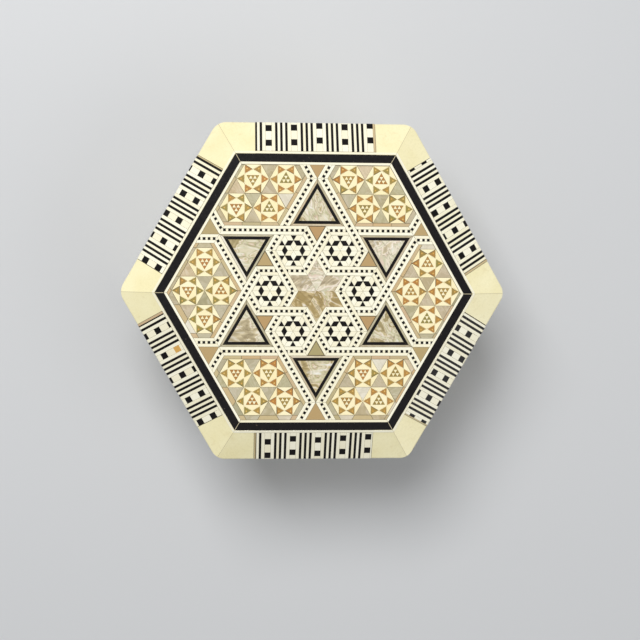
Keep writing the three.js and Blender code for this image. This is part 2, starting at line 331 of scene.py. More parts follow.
def new_piece(name, mesh, body, finish):
    """A mesh as a piece that rides on a body, in a finish."""
    mesh.update()
    mesh.materials.append(finish.material)
    piece = linked(name, mesh)
    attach(piece, body)
    return piece


def ring_faces(first, second, count):
    """Squares between two closed rings of points."""
    following = [(i + 1) % count for i in range(count)]
    return [[first + i, first + j, second + j, second + i] for i, j in enumerate(following)]


def inlay_piece(name, sheet, body, finish):
    """Everything in one finish on a panel, with each piece's tint and grain on its faces."""
    mesh = new_mesh(name, sheet["points"], sheet["faces"])
    tints = mesh.attributes.new("tint", "FLOAT", "FACE")
    tints.data.foreach_set("value", sheet["tints"])
    grain = mesh.uv_layers.new(name="Grain")
    places = [sheet["grain"][loop.vertex_index] for loop in mesh.loops]
    grain.data.foreach_set("uv", [part for at in places for part in (at.real, at.imag)])
    new_piece(name, mesh, body, finish)


# ---- Shader maths ----

MIX_COLOURS = (6, 7)  # a Mix node's colour inputs, whose names it uses more than once
MIXED_COLOUR = 2  # its colour output
PLAIN_VALUE = 2  # an Attribute node's single number
OBJECT_PLACE = 3  # a Texture Coordinate node's object coordinates


class Wave:
    """A value's socket in a material. Arithmetic on it adds Math nodes."""

    def __init__(self, finish, socket):
        self.finish = finish
        self.socket = socket

    def _math(self, operation, *values):
        return self.finish.node("ShaderNodeMath", {"operation": operation}, dict(enumerate(values)))

    def __add__(self, other):
        return self._math("ADD", self, other)

    def __sub__(self, other):
        return self._math("SUBTRACT", self, other)

    def __rsub__(self, other):
        return self._math("SUBTRACT", other, self)

    def __mul__(self, other):
        return self._math("MULTIPLY", self, other)

    def __pow__(self, other):
        return self._math("POWER", self, other)

    def __mod__(self, other):
        return self._math("FLOORED_MODULO", self, other)

    def __lt__(self, other):
        return self._math("LESS_THAN", self, other)

    __radd__ = __add__
    __rmul__ = __mul__

    def __abs__(self):
        return self._math("ABSOLUTE", self)

    def sine(self):
        return self._math("SINE", self)

    def bounded(self):
        return self._math("MINIMUM", self._math("MAXIMUM", self, 0.0), 1.0)


class Finish:
    """A material under construction, and the record's slot that it belongs to."""

    def __init__(self, name, slot, **fixed):
        self.slot = slot
        self.material = bpy.data.materials.new(name)
        self.material.use_nodes = True
        self.tree = self.material.node_tree
        self.shader = self.tree.nodes["Principled BSDF"]
        for socket, value in fixed.items():
            self.shader.inputs[socket.replace("_", " ")].default_value = value

    def node(self, kind, settings, sockets, output=0):
        """Any node: its settings or a ramp's stops first, then its sockets by name or number."""
        made = self.tree.nodes.new(kind)
        for name, value in settings.items():
            if name == "stops":
                set_stops(made.color_ramp.elements, value)
            else:
                setattr(made, name, value)
        for socket, value in sockets.items():
            self._feed(made.inputs[socket], value)
        return Wave(self, made.outputs[output])

    def _feed(self, socket, value):
        if isinstance(value, Wave):
            self.tree.links.new(value.socket, socket)
        else:
            socket.default_value = value

    def feed(self, name, value):
        self._feed(self.shader.inputs[name], value)

    def ramp(self, factor, *stops):
        """A colour ramp from (position, sRGB colour) stops."""
        return self.node("ShaderNodeValToRGB", {"stops": stops}, {0: factor})

    def mix(self, factor, a, b):
        """A mix of two colours, each a Wave or an sRGB colour."""
        a, b = (colour if isinstance(colour, Wave) else shade(colour) for colour in (a, b))
        sockets = {"Factor": factor, MIX_COLOURS[0]: a, MIX_COLOURS[1]: b}
        return self.node("ShaderNodeMix", {"data_type": "RGBA"}, sockets, MIXED_COLOUR)

    def noise(self, where, scale, detail=3.0, stretch=None, distortion=0.0):
        """Noise from 0 to 1 at a scale in waves per unit of the coordinates."""
        if stretch:
            where = self.node("ShaderNodeMapping", {}, {"Vector": where, "Scale": stretch})
        return self.node("ShaderNodeTexNoise", {}, {"Vector": where, "Scale": scale, "Detail": detail,
                                                    "Distortion": distortion})

    def grain(self):
        """The coordinates along and across a laid piece's grain, in millimetres."""
        return self.node("ShaderNodeUVMap", {"uv_map": "Grain"}, {})

    def tint(self):
        """A laid piece's own tint, from 0 to 1."""
        return self.node("ShaderNodeAttribute", {"attribute_name": "tint"}, {}, PLAIN_VALUE)

    def space(self):
        """The model's coordinates, in millimetres."""
        where = self.node("ShaderNodeTexCoord", {}, {}, OBJECT_PLACE)
        return self.node("ShaderNodeVectorMath", {"operation": "SCALE"}, {0: where, "Scale": 1 / MM})

    def bump(self, height, depth, strength=1.0):
        """Raises the surface by height, with a depth in millimetres for a height of 1."""
        sockets = {"Strength": strength, "Distance": depth * MM, "Height": height}
        self.feed("Normal", self.node("ShaderNodeBump", {}, sockets))


def set_stops(elements, stops):
    """Gives a ramp its (position, sRGB colour) stops."""
    while len(elements) < len(stops):
        elements.new(0.5)
    for element, (position, colour) in zip(elements, stops):
        element.position = position
        element.color = shade(colour)


def shade(colour):
    """An sRGB colour from 0 to 255 as a linear one."""
    linear = [((c / 255 + 0.055) / 1.055) ** 2.4 if c > 10.3 else c / 3295 for c in colour]
    return (*linear, 1.0)


# ---- Finishes ----


def bone(name="bone", light=(255, 252, 232), deep=(243, 234, 198), slot="bone"):
    """Polished camel bone: cream, with faint fibres along each piece."""
    made = Finish(name, slot, Roughness=0.3, Coat_Weight=0.5, Coat_Roughness=0.12, IOR=1.5)
    where = made.grain()
    fibres = made.noise(where, 2.2, stretch=(0.5, 5.0, 1.0))
    cloud = made.noise(where, 0.25)
    shift = (made.tint() * 0.5 + fibres * 0.45 + cloud * 0.4 - 0.2).bounded()
    made.feed("Base Color", made.mix(shift, light, deep))
    made.feed("Roughness", fibres * 0.18 + 0.2)
    made.bump(fibres, 0.012, 0.5)
    return made


def ebony():
    """Black-dyed wood, polished, with open pores along each piece."""
    made = Finish("ebony", "ebony", Coat_Weight=0.18, Coat_Roughness=0.08, Specular_IOR_Level=0.2)
    where = made.grain()
    pores = made.noise(where, 3.0, stretch=(0.25, 4.0, 1.0))
    made.feed("Base Color", made.mix(pores * made.tint(), (5, 4, 4), (26, 20, 19)))
    made.feed("Roughness", pores * 0.25 + 0.2)
    made.bump(pores, 0.02, 0.6)
    return made


def walnut():
    """The stars' tips: small pieces of several brown and olive woods."""
    made = Finish("walnut", "marquetry", Coat_Weight=0.5, Coat_Roughness=0.12)
    where = made.grain()
    figure = made.noise(where, 1.6, stretch=(0.4, 4.0, 1.0))
    colour = made.ramp(made.tint(), (0.0, (184, 126, 52)), (0.3, (190, 142, 70)),
                       (0.5, (176, 146, 70)), (0.75, (154, 142, 70)), (1.0, (196, 130, 60)))
    dark = made.mix(0.3, colour, (118, 84, 36))
    made.feed("Base Color", made.mix(figure, dark, colour))
    made.feed("Roughness", figure * 0.2 + 0.25)
    made.bump(figure, 0.012, 0.5)
    return made


def plain_wood_chip(name, *stops):
    """A small chip of stained wood, its colour picked by its tint."""
    made = Finish(name, "marquetry", Coat_Weight=0.5, Coat_Roughness=0.12)
    figure = made.noise(made.grain(), 1.8, stretch=(0.5, 4.0, 1.0))
    colour = made.ramp(made.tint(), *stops)
    made.feed("Base Color", made.mix(figure * 0.35, colour, (150, 110, 70)))
    made.feed("Roughness", figure * 0.2 + 0.25)
    return made


def pearl(name, play, *stops):
    """Mother-of-pearl: a ground colour by its tint, with as much play of pink, green and silver
    in folded bands as play says: the shell's own banding with its iridescent sheen painted in,
    painted white glints, and painted shade along the folds."""
    made = Finish(name, "pearl", Coat_Weight=0.6, Coat_Roughness=0.06, Metallic=0.1)
    where = made.grain()
    fold = made.noise(where, 0.07, detail=2.0, distortion=1.6)
    ripple = made.noise(where, 0.24, detail=5.0, stretch=(0.6, 1.6, 1.0), distortion=1.4)
    bands = ((fold * 22 + ripple * 4).sine() + 1) * 0.5
    base = made.ramp(made.tint(), *stops)
    # the shell's own coloured banding, with its iridescent sheen painted into the colour
    banding_and_painted_sheen = made.ramp(bands, (0.0, (152, 134, 88)), (0.3, (214, 196, 150)), (0.5, (255, 248, 228)),
                      (0.68, (228, 200, 178)), (0.85, (190, 194, 148)), (1.0, (240, 230, 204)))
    mixed = made.mix(play, base, banding_and_painted_sheen)
    # painted glints: near-white flecks where the ripple runs high
    painted_glint_share = (ripple * 7 - 4.1).bounded() * play
    glinted_colour = made.mix(painted_glint_share, mixed, (255, 255, 250))
    # painted shade: a dark line along each fold of the bands, painted into the flat shell's colour
    painted_fold_shade = (1.0 - abs(ripple - 0.44) * 26).bounded() * play
    made.feed("Base Color", made.mix(painted_fold_shade * 0.8, glinted_colour, (128, 110, 78)))
    made.feed("Roughness", ripple * 0.3 + 0.1)
    made.bump(bands * 0.4 + ripple, 0.05, 0.5)
    return made


def glue_bed():
    """The dark resin between the pieces."""
    made = Finish("glue_bed", "marquetry", Coat_Weight=0.4)
    grit = made.noise(made.space(), 1.5)
    made.feed("Base Color", made.mix(grit, (70, 60, 36), (114, 100, 64)))
    made.feed("Roughness", grit * 0.3 + 0.4)
    made.bump(grit, 0.05, 0.5)
    return made


def mitre_distance(made):
    """How far a point is from the nearest corner's mitre, in millimetres."""
    where = made.space()
    x, y = (made.node("ShaderNodeSeparateXYZ", {}, {0: where}, axis) for axis in (0, 1))
    bearing = made.node("ShaderNodeMath", {"operation": "ARCTAN2"}, {0: y, 1: x})
    off = abs((bearing + SIXTH / 2) % SIXTH - SIXTH / 2)
    reach = (x * x + y * y) ** 0.5
    return reach * off.sine()


def corner_bone():
    """The rim's bone slips, with the dark line of the mitre between each pair."""
    made = Finish("corner_bone", "bone", Coat_Weight=0.6, Coat_Roughness=0.1, IOR=1.5)
    where = made.space()
    fibres = made.noise(where, 0.9, detail=4.0, stretch=(1.0, 1.0, 0.3), distortion=0.6)
    cloud = made.noise(where, 0.09, detail=2.0)
    stain = made.noise(where, 0.35, detail=5.0, distortion=1.0)
    base = made.mix((cloud * 1.8 - 0.4).bounded(), (251, 243, 200), (241, 230, 178))
    worn = made.mix((stain * 3.2 - 1.9).bounded() * 0.5, base, (206, 184, 128))
    line = mitre_distance(made) < 0.07
    made.feed("Base Color", made.mix(line * 0.45, worn, (112, 96, 62)))
    made.feed("Roughness", fibres * 0.2 + 0.18)
    made.bump(fibres * 0.2 - line, 0.05, 0.6)
    return made


def band_ebony():
    """The lid's black band: polished, dusted with small chips, pale at its mitres."""
    made = Finish("band_ebony", "ebony", Coat_Weight=0.3, Coat_Roughness=0.07, Specular_IOR_Level=0.25)
    where = made.space()
    pores = made.noise(where, 1.4, detail=4.0)
    chips = (made.noise(where, 1.1, detail=6.0) * 9 - 6.3).bounded()
    black = made.mix(pores, (7, 6, 7), (24, 20, 20))
    chipped = made.mix(chips * 0.5, black, (170, 150, 120))
    line = mitre_distance(made) < 0.09
    made.feed("Base Color", made.mix(line, chipped, (196, 184, 150)))
    made.feed("Roughness", pores * 0.2 + 0.15)
    made.bump(pores * 0.3 - chips, 0.04, 0.6)
    return made


def timber(name, slot, light, dark, gloss):
    """Straight-grained wood, lacquered as much as gloss says."""
    made = Finish(name, slot, Coat_Weight=gloss, Coat_Roughness=0.15)
    where = made.space()
    rings = made.noise(where, 0.16, detail=5.0, stretch=(0.35, 1.0, 3.2), distortion=1.2)
    pores = made.noise(where, 1.2, detail=3.0, stretch=(0.3, 1.0, 3.0))
    made.feed("Base Color", made.mix((rings * 1.7 - 0.35).bounded(), dark, light))
    made.feed("Roughness", pores * 0.25 + 0.35)
    made.bump(pores, 0.04, 0.6)
    return made


def velvet():
    """Short-pile red velvet, lighter where the pile is brushed."""
    made = Finish("velvet", "velvet", Roughness=0.9, Sheen_Weight=0.9, Sheen_Roughness=0.35,
                  Sheen_Tint=shade((235, 70, 80)), Specular_IOR_Level=0.15)
    where = made.space()
    brushed = made.noise(where, 0.045, detail=2.0, distortion=0.8)
    pile = made.noise(where, 3.2, detail=4.0)
    nap = made.mix((brushed * 2 - 0.5).bounded(), (112, 8, 20), (134, 14, 27))
    made.feed("Base Color", made.mix(pile * 0.4, nap, (72, 3, 12)))
    made.bump(pile, 0.22, 0.8)
    return made


def cord():
    """Silk piping cord of a deeper red than the velvet."""
    made = Finish("cord", "velvet", Sheen_Weight=0.4, Specular_IOR_Level=0.4)
    threads = made.noise(made.space(), 4.0, detail=2.0)
    made.feed("Base Color", made.mix(threads, (104, 6, 18), (168, 30, 40)))
    made.feed("Roughness", threads * 0.3 + 0.4)
    made.bump(threads, 0.05, 0.6)
    return made


def felt():
    """Thin green felt, matted from loose fibres."""
    made = Finish("felt", "felt", Roughness=0.95, Sheen_Weight=0.3, Sheen_Roughness=0.5)
    where = made.space()
    fibres = made.noise(where, 1.8, detail=6.0, distortion=3.0)
    made.feed("Base Color", made.mix(fibres, (22, 50, 32), (58, 92, 62)))
    made.bump(fibres, 0.15, 0.7)
    return made


def brass():
    """Plain hinge brass, a little tarnished."""
    made = Finish("brass", "brass", Metallic=1.0)
    where = made.space()
    tarnish = made.noise(where, 0.6, detail=5.0)
    scratches = made.noise(where, 2.0, detail=2.0, stretch=(0.2, 3.0, 3.0))
    made.feed("Base Color", made.mix((tarnish * 2 - 0.6).bounded(), (196, 152, 72), (132, 96, 44)))
    made.feed("Roughness", (tarnish * 0.3 + scratches * 0.15 + 0.14).bounded())
    made.bump(scratches, 0.01, 0.5)
    return made


FINISHES = {
    "bone": bone(),
    "corner": bone("yellow_bone", (251, 243, 204), (240, 228, 178)),
    "star_ground": bone("star_ground", (255, 246, 208), (250, 232, 176), "marquetry"),
    "ebony": ebony(),
    "walnut": walnut(),
    "filler": plain_wood_chip("filler", (0.0, (214, 184, 136)), (0.4, (208, 194, 146)),
                              (0.7, (216, 188, 150)), (1.0, (194, 184, 138))),
    "peach": plain_wood_chip("peach", (0.0, (190, 150, 98)), (0.5, (190, 166, 114)),
                             (1.0, (174, 166, 116))),
    "amber": plain_wood_chip("amber", (0.0, (222, 160, 66)), (1.0, (240, 204, 116))),
    "pearl": pearl("pearl", 0.66, (0.0, (226, 212, 194)), (0.25, (236, 224, 204)),
                   (0.45, (196, 184, 140)), (0.75, (206, 178, 118)), (1.0, (196, 164, 100))),
    "grey_pearl": pearl("grey_pearl", 0.14, (0.0, (196, 186, 158)), (0.3, (188, 180, 140)),
                        (0.5, (206, 188, 158)), (0.7, (172, 166, 130)), (0.86, (212, 188, 150)),
                        (0.93, (232, 224, 202)), (1.0, (246, 240, 222))),
}


# ---- Patterns ----


def triangle_split(corners, rows):
    """An equilateral triangle's rows of small triangles, each with whether it points the same way."""
    a, b, c = corners
    right, up = (b - a) / rows, (c - a) / rows
    for row in range(rows):
        for column in range(rows - row):
            p = a + right * column + up * row
            yield [p, p + right, p + up], True
            if column < rows - row - 1:
                yield [p + right, p + right + up, p + up], False


def walnut_star(panel, centre, region, flipped):
    """A six-pointed star of walnut tips on a yellow ground, with a split triangle in the middle."""
    notch = STAR / math.sqrt(3)
    lean = cmath.rect(1, panel.random.uniform(-STAR_LEAN, STAR_LEAN))
    centre += cmath.rect(panel.random.uniform(0, STAR_SLIP), panel.random.uniform(0, TURN))
    inner = [cmath.rect(notch, (i + 0.5) * SIXTH) * lean for i in range(6)]
    hue = panel.random.random()
    for k in range(6):
        tip, next_tip = cmath.rect(STAR, k * SIXTH), cmath.rect(STAR, (k + 1) * SIXTH)
        left, right = inner[k], inner[k - 1]
        point = [centre + p for p in (tip, left, right)]
        tint = (hue + panel.random.uniform(-HUE_SPREAD, HUE_SPREAD)) % 1
        panel.lay("walnut", shrink(point, TIP_INSET), gap=FINE_LINE, tint=tint, region=region)
        for a, b in sides(point):
            outward = (b - a) / abs(b - a) / 1j
            sliver = [a, b, b - outward * TIP_INSET, a - outward * TIP_INSET]
            panel.lay("star_ground", clip(sliver, point), gap=0.0, region=region)
        ground = [centre + p for p in (tip, next_tip, left)]
        panel.lay("star_ground", ground, gap=FINE_LINE, region=region)
        panel.peg("amber", centre + tip * PEG_PLACE, region)
    upward = -90 if flipped else 90
    top = ngon(centre, SPLIT_SIDE / math.sqrt(3), upward + 120, 3)
    core = [centre + p for p in inner]
    for a, b in sides(top):
        outward = (b - a) / abs(b - a) / 1j
        panel.lay("star_ground", cut(core, a, -outward), gap=FINE_LINE, region=region)
    for piece, same in triangle_split(top, 3):
        finish = "walnut" if same else "star_ground"
        panel.lay(finish, piece, gap=FINE_LINE, tint=(hue + 0.5) % 1 if same else None, region=region)


def star_field(panel, region, origin, chosen, reach=4):
    """Walnut stars with shell triangles between them, laid from an origin over a region."""
    step = 2 * STAR
    for i in range(-reach, reach + 1):
        for j in range(-reach, reach + 1):
            centre = origin + step * (i + j * cmath.rect(1, SIXTH))
            plot = ngon(centre, STAR)
            if len(clip(plot, region)) < 3 and abs(centre - origin) > 3 * step:
                continue
            if chosen(centre):
                walnut_star(panel, centre, region, panel.random.random() < FLIPPED_SHARE)
            else:
                panel.lay("filler", plot, region=region)
            for way in (1, -1):
                foot = [centre + way * cmath.rect(STAR, a * SIXTH) for a in (1, 2)]
                peak = centre + way * 1j * STAR * math.sqrt(3)
                panel.lay("grey_pearl", [foot[1], foot[0], peak], region=region)


def strap(panel, route, crossings, region):
    """A dotted strap along a route, mitred at its bends. crossings maps a segment's number to the
    point and direction of a strap that passes over it."""
    steps = [(q - p) / abs(q - p) for p, q in zip(route, route[1:])]
    for k, way in enumerate(steps):
        start, end = route[k], route[k + 1]
        limits = []
        if k > 0:
            limits.append((start, -(steps[k - 1] + way)))
        if k < len(steps) - 1:
            limits.append((end, way + steps[k + 1]))
        stretches = [limits]
        if k in crossings:
            point, over = crossings[k]
            outward = over * 1j if along(over * 1j, way) > 0 else over / 1j
            half = outward / abs(outward) * STRAP / 2
            stretches = [limits + [(point - half, outward)], limits + [(point + half, -outward)]]
        for bounds in stretches:
            strap_stretch(panel, start, end, way, bounds, region)


def strap_stretch(panel, start, end, way, limits, region):
    """One straight stretch of strap, cut off by its limits."""
    def lay(finish, near, far, low, high, gap):
        outline = [start + way * p for p in rectangle(complex(near, low), complex(far, high))]
        for point, outward in limits:
            outline = cut(outline, point, outward)
        panel.lay(finish, outline, gap=gap, grain=way, region=region)

    length = abs(end - start)
    outer, inner = STRAP / 2, STRAP_DOTS / 2
    for low, high in ((-outer, -inner), (inner, outer)):
        lay("bone", -STRAP, length + STRAP, low, high, NARROW_LINE)
    count = round(length / DOT_PITCH)
    pitch = length / count
    wander = panel.random.uniform
    near = -SPARE_DOTS * pitch
    for i in range(-SPARE_DOTS, count + SPARE_DOTS):
        far = (i + 0.5) * pitch - STRAP_DOTS / 2 + wander(-DOT_WANDER, DOT_WANDER)
        lay("bone", near, far, -inner, inner, ROD_LINE)
        near = far + STRAP_DOTS + wander(-DOT_WANDER, DOT_WANDER)
        lay("ebony", far, near, -inner, inner, FINE_LINE)


def cell(panel, centre, region):
    """A strapwork hexagon's inside: a bone star in a ring of ebony diamonds and triangles."""
    side = cmath.rect(1, SIXTH)
    opening = (CELL - STRAP / math.sqrt(3)) / GRID
    pieces = (
        ("bone", (0, 1, 1 + side, side)),
        ("ebony", (1, 2 - side, 2, 1 + side)),
        ("ebony", (1 + side, 2 + side, 1 + 2 * side)),
        ("bone", (2, 3, 2 + side, 1 + side)),
        ("bone", (1 + side, 1 + 2 * side, 3 * side, 2 * side)),
        ("bone", (3, opening, opening * side, 3 * side)),
    )
    for k in range(6):
        for finish, points in pieces:
            outline = [centre + p * GRID * cmath.rect(1, k * SIXTH) for p in points]
            panel.lay(finish, outline, gap=FINE_LINE, region=region)


def framed_shell(panel, corners, region, tint):
    """A large shell triangle in an ebony frame, with grey strips between it and the straps."""
    outer = shrink(corners, FRAME_INSET)
    inner = shrink(outer, FRAME_WIDTH)
    for k in range(3):
        j = (k + 1) % 3
        panel.lay("grey_pearl", [corners[k], corners[j], outer[j], outer[k]], region=region)
        panel.lay("ebony", [outer[k], outer[j], inner[j], inner[k]], gap=FINE_LINE, region=region)
    panel.lay("pearl", inner, gap=FINE_LINE, tint=tint, region=region)


def central_star(panel, region):
    """The six-pointed shell star in the middle: silvery above a straight joint, golden below."""
    reach = CELL * math.sqrt(3) - STRAP
    notch = reach / math.sqrt(3)
    for k in range(6):
        tip = cmath.rect(reach, (k + 0.5) * SIXTH)
        left, right = cmath.rect(notch, (k + 1) * SIXTH), cmath.rect(notch, k * SIXTH)
        tints, bearing = SILVER if k < 3 else GOLD
        panel.lay("pearl", [0, right, tip, left], gap=SHELL_LINE, tint=panel.random.uniform(*tints),
                  grain=cmath.rect(1, bearing), region=region)


def strapwork(panel, region):
    """The lid's six interlaced straps and the six cells inside their bends."""
    for k in range(6):
        spin = cmath.rect(1, k * SIXTH)

        def corner(cell_sixths, vertex_sixths):
            middle = 2 * CELL * cmath.rect(1, cell_sixths * SIXTH)
            return (middle + cmath.rect(CELL, vertex_sixths * SIXTH)) * spin

        def kiss(bearing, side):
            way = cmath.rect(1, math.radians(bearing))
            return (KISS if side > 0 else KISS.conjugate()) * way * spin

        kiss_b, kiss_a = kiss(210, -1), kiss(30, 1)
        route = [
            kiss_b - STRAP_END * spin,
            kiss_b, corner(3, 2), corner(2, 5), corner(1, 2), kiss_a,
            kiss_a + STRAP_END * cmath.rect(1, SIXTH) * spin,
        ]
        over = cmath.rect(1, 2 * SIXTH) * spin
        strap(panel, route, {2: (corner(2, 4), over), 4: (corner(1, 1), over)}, region)
        cell(panel, 2 * CELL * spin, region)


def field_triangles(panel, region):
    """What fills the six middles of the sides: a framed shell triangle between two small ones."""
    base = CELL * 1.5 * math.sqrt(3) + STRAP / 2
    kiss = KISS.real
    inner_tip = CELL * math.sqrt(3) + STRAP
    for k in range(6):
        half = (kiss - base) * TAN30
        framed = [complex(-half, base), complex(half, base), complex(0, kiss)]
        framed_shell(panel, turned(framed, k), region, SHELL_TINTS[k])
        half = (base - inner_tip) * TAN30
        small = [complex(0, inner_tip), complex(half, base), complex(-half, base)]
        small = shrink(turned(small, k), SMALL_INSET)
        panel.lay("peach", small, gap=FINE_LINE, tint=SMALL_TINTS[k], region=region)
        half = (BEYOND - kiss) * TAN30
        outer = [complex(0, kiss), complex(half, BEYOND), complex(-half, BEYOND)]
        panel.lay("peach", turned(outer, k), tint=panel.random.random(), region=region)


def corner_groups(panel, region):
    """The six corners of the field: four walnut stars each, among shell triangles."""
    for k in range(6):
        bearing = cmath.rect(1, k * SIXTH)
        root = GROUP_ROOT * bearing
        left = root + GROUP_EDGE * cmath.rect(1, SIXTH) * bearing
        right = root + GROUP_EDGE * cmath.rect(1, -SIXTH) * bearing
        shift = GROUP_REACH * bearing
        outline = [root, right, right + shift, right + left - root + shift, left + shift, left]
        outline = clip(outline, region)
        inside = outline
        for side in (1, -1):
            edge = cmath.rect(1, side * SIXTH) * bearing
            outward = edge * side * 1j
            middle = bearing * 1j * side
            inside = cut(inside, root - outward * GROUP_BORDER, outward)
            filler = cut(cut(outline, root - outward * GROUP_BORDER, -outward), root, -middle)
            for i in range(FILLERS):
                part = cut(filler, root + edge * i * FILLER_LENGTH, -edge)
                if i < FILLERS - 1:
                    part = cut(part, root + edge * (i + 1) * FILLER_LENGTH, edge)
                panel.lay("filler", part, region=region)
        star_field(panel, inside, FIRST_STAR * bearing, lambda p: is_group_star(p / bearing), reach=3)


def is_group_star(p):
    """Whether a place, in a group's own direction, is one of its four stars'."""
    sideways = STAR * (1 + 1j * math.sqrt(3))
    steps = (0, 2 * STAR, sideways, sideways.conjugate())
    return min(abs(p - FIRST_STAR - step) for step in steps) < 1


# ---- The lid's top ----


def hexagon(apothem):
    """A sharp hexagon with flats up and down."""
    return ngon(0, apothem / math.cos(SIXTH / 2))


def lid_field():
    """The lid's marquetry: a mitred bone line round the pattern, which was glued off the middle."""
    top = mm(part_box("lid_field")[1].z)
    border = mm(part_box("lid_field")[1].y)
    panel = Panel("lid_field", "lid", seed=11)
    panel.place = lambda u, v, w: (u * MM, v * MM, (top + w) * MM)
    low, high = hexagon(border - STRINGING), hexagon(border)
    for k in range(6):
        j = (k + 1) % 6
        panel.lay("bone", [low[k], high[k], high[j], low[j]], gap=STRINGING_GAP)
    middle = OFF_CENTRE
    panel.place = lambda u, v, w: ((u + middle.real) * MM, (v + middle.imag) * MM, (top + w) * MM)
    region = [p - middle for p in low]
    central_star(panel, region)
    strapwork(panel, region)
    field_triangles(panel, region)
    corner_groups(panel, region)
    panel.finished()


# ---- Rims: profiles that run round the box ----


class Profile:
    """A moulding's outline, followed from its inner edge outward. Each station is an
    (apothem, height) point with its outward normal, both as complex numbers."""

    def __init__(self, *stations):
        self.stations = stations
        self.reaches = [0.0]
        for (p, _), (q, _) in zip(stations, stations[1:]):
            self.reaches.append(self.reaches[-1] + abs(q - p))

    def at(self, v):
        """The point and the normal at a distance along the profile."""
        last = len(self.stations) - 2
        k = max(i for i in range(last + 1) if i == 0 or self.reaches[i] <= v)
        (p, m), (q, n) = self.stations[k], self.stations[k + 1]
        share = (v - self.reaches[k]) / (self.reaches[k + 1] - self.reaches[k])
        normal = m + (n - m) * min(max(share, 0), 1)
        return p + (q - p) * share, normal / abs(normal)

    def between(self, low, high):
        """Distances from low to high, with every bend between them."""
        bends = [r for r in self.reaches if low + BEND_ROOM < r < high - BEND_ROOM]
        return [low] + bends + [high]


def on_side(profile, k):
    """Puts (u, v, w) on a profile along side k: u runs along the side, v along the profile."""
    turn = cmath.rect(1, k * SIXTH)

    def place(u, v, w):
        point, normal = profile.at(v)
        at = point + normal * w
        flat = complex(u, at.real) * turn
        return flat.real * MM, flat.imag * MM, at.imag * MM
    return place


def slat(panel, profile, finish, left, right, low, high):
    """A straight piece across a moulding, following its profile from low to high."""
    width, middle = right - left - FINE_LINE, (left + right) / 2
    if width < NARROWEST or high - low < NARROWEST:
        return
    lift = panel.random.uniform(-UNEVEN, UNEVEN)
    stations = [lambda side, v=v: (middle - side, v) for v in profile.between(low, high)]
    panel.sweep(finish, width, lift, stations, closed=False, grain=1j)


def stripes(panel, profile, low, high, phase, starts, odd=None):
    """A striped slip: columns of ebony squares on bone, between groups of three ebony lines.
    phase is a column's place along the side and starts says where the first square of each
    column lies down the slope. odd is the column and the number of a square of another wood."""
    line = STRIPE_LINE / 2
    near = STRIPE_PERIOD / 2 - STRIPE_LINE_PITCH
    first, last = -STRIPE_REACH, STRIPE_REACH - panel.random.uniform(*STRIPE_PACKING)
    slat(panel, profile, "filler", last, STRIPE_REACH, low, high)

    def strip(finish, left, right, bottom=low, top=high):
        left, right = max(left, first), min(right, last)
        slat(panel, profile, finish, left, right, max(bottom, low), min(top, high))

    for i, start in enumerate(starts, -(STRIPE_COLUMNS // 2)):
        column = phase + i * STRIPE_PERIOD
        border = column + STRIPE_PERIOD / 2
        for way in (-1, 1):
            middle = column + way * near
            for inner, outer in ((STRIPE_SQUARE / 2, near - line), (near + line, STRIPE_PERIOD / 2 - line)):
                left, right = sorted((column + way * inner, column + way * outer))
                strip("bone", left, right)
            strip("ebony", middle - line, middle + line)
        strip("ebony", border - line, border + line)
        left, right = column - STRIPE_SQUARE / 2, column + STRIPE_SQUARE / 2
        for number in range(STRIPE_SQUARES):
            top = low + start + (number - 1) * STRIPE_SQUARE_PITCH
            middle = top + STRIPE_SQUARE_LONG
            strip("amber" if odd == (i, number) else "ebony", left, right, top, middle)
            strip("bone", left, right, middle, top + STRIPE_SQUARE_PITCH)


def bevel_strip(panel, profile, finish, low, high):
    """A line along the whole side of a moulding, mitred at the corners."""
    ends = [(v, profile.at(v)[0].real * TAN30) for v in (low, high)]
    (v, reach), (w, far) = ends
    outline = [complex(-far, w), complex(-reach, v), complex(reach, v), complex(far, w)]
    panel.lay(finish, outline, gap=NARROW_LINE)


def lid_rim_profile():
    """The lid's bevel, its rounded arris and its upright edge."""
    low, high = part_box("lid_stripe_back")
    inner, outer = mm(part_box("lid_band")[1].y), mm(high.y)
    top = mm(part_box("lid_field")[1].z)
    slope = complex(outer - inner, -BEVEL_RISE)
    way = slope / abs(slope)
    normal = way * 1j
    bend = -cmath.phase(way)
    turn = math.pi / 2 - bend
    reach = ARRIS * math.tan(turn / 2)
    foot = complex(outer, top - BEVEL_RISE)
    middle = foot - complex(ARRIS, reach)
    stations = [(complex(inner, top) + way * BAND_ROOM, normal)]
    for i in range(ARC_STEPS + 1):
        facing = cmath.rect(1, turn * (1 - i / ARC_STEPS))
        stations.append((middle + ARRIS * facing, facing))
    stations.append((complex(outer, mm(low.z) + EDGE_ROOM), 1 + 0j))
    return Profile(*stations)


def lid_rim():
    """The striped slips on the lid's bevel and the bone line above them."""
    profile = lid_rim_profile()
    panel = Panel("lid_rim", "lid", seed=23)
    for k in range(6):
        panel.place = on_side(profile, k)
        bevel_strip(panel, profile, "bone", 0.0, OUTER_LINE)
        stripes(panel, profile, OUTER_LINE + OUTER_GAP, profile.reaches[-1], *LID_RODS[SIDES[k]])
    panel.finished()


def plinth_profile():
    """The plinth's sloping top."""
    low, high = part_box("base_rail_front")
    face = mm(-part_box("side_panel_front")[0].y)
    edge = complex(mm(-low.y), mm(low.z) + PLINTH_EDGE)
    top = complex(face, mm(high.z))
    normal = (top - edge) / abs(top - edge) / 1j
    return Profile((top, normal), (edge, normal))


